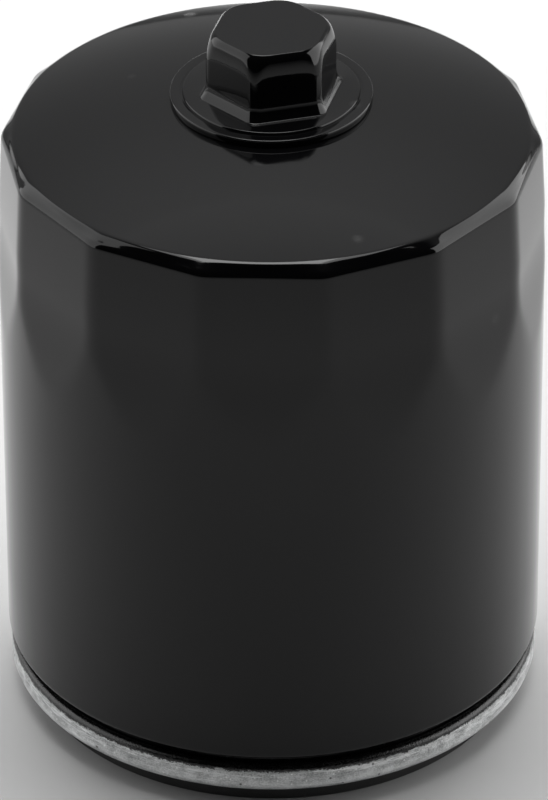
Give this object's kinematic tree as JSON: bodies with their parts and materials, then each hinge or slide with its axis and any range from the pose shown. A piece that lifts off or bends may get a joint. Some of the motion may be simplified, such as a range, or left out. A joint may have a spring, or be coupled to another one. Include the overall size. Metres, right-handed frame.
{
  "type": "spin-on oil filter",
  "caption": "Spin-on engine oil filter: black drawn can with wrench flats and a hex cap, rolled galvanised seam, rubber gasket, pleated element, bypass and anti-drainback valves.",
  "frame": {"origin": "centre of the mounting gasket's sealing face, at the bottom of the filter", "axes": "+Z along the filter's axis from the gasket to the hex cap; -Y is the front"},
  "size_m": [0.0762, 0.0762, 0.105],
  "materials": {
    "black_paint": "gloss black enamel",
    "galvanised": "galvanised, dull spangle",
    "plate_steel": "phosphated",
    "sheet_steel": "tin-plated satin",
    "spring_steel": "oiled",
    "nitrile": "matt black",
    "silicone": "orange, satin",
    "paper": "resin-treated filter paper",
    "adhesive": "cured plastisol",
    "sealant": "seaming compound"
  },
  "bodies": {
    "housing": {"canister": "black_paint", "hex_cap": "black_paint", "seam_lid": "galvanised", "mounting_gasket": "nitrile", "seam_sealant": "sealant", "base_plate": "plate_steel", "lower_end_cap": "sheet_steel", "lower_end_adhesive": "adhesive", "centre_tube": "sheet_steel", "pleated_media": "paper", "media_seam_clip": "sheet_steel", "upper_end_adhesive": "adhesive", "upper_end_cap": "sheet_steel", "bypass_cage": "sheet_steel", "bypass_spring": "spring_steel", "hold_down_spring": "spring_steel"},
    "bypass_valve": {"bypass_plate": "sheet_steel", "bypass_seal": "nitrile", "bypass_stem": "plate_steel"},
    "drainback_valve": {"anti_drainback_valve": "silicone"}
  },
  "joints": [
    {"name": "bypass_opening", "type": "slide", "parent": "housing", "child": "bypass_valve", "axis": [0, 0, -1], "range_m": [0, 0.003], "stiffness_N_per_m": 1000, "springref_m": -0.007, "deforming": ["bypass_spring"]},
    {"name": "drainback_lift", "type": "slide", "parent": "housing", "child": "drainback_valve", "axis": [0, 0, 1], "range_m": [0, 0.001], "stiffness_N_per_m": 300, "springref_m": -0.001}
  ]
}
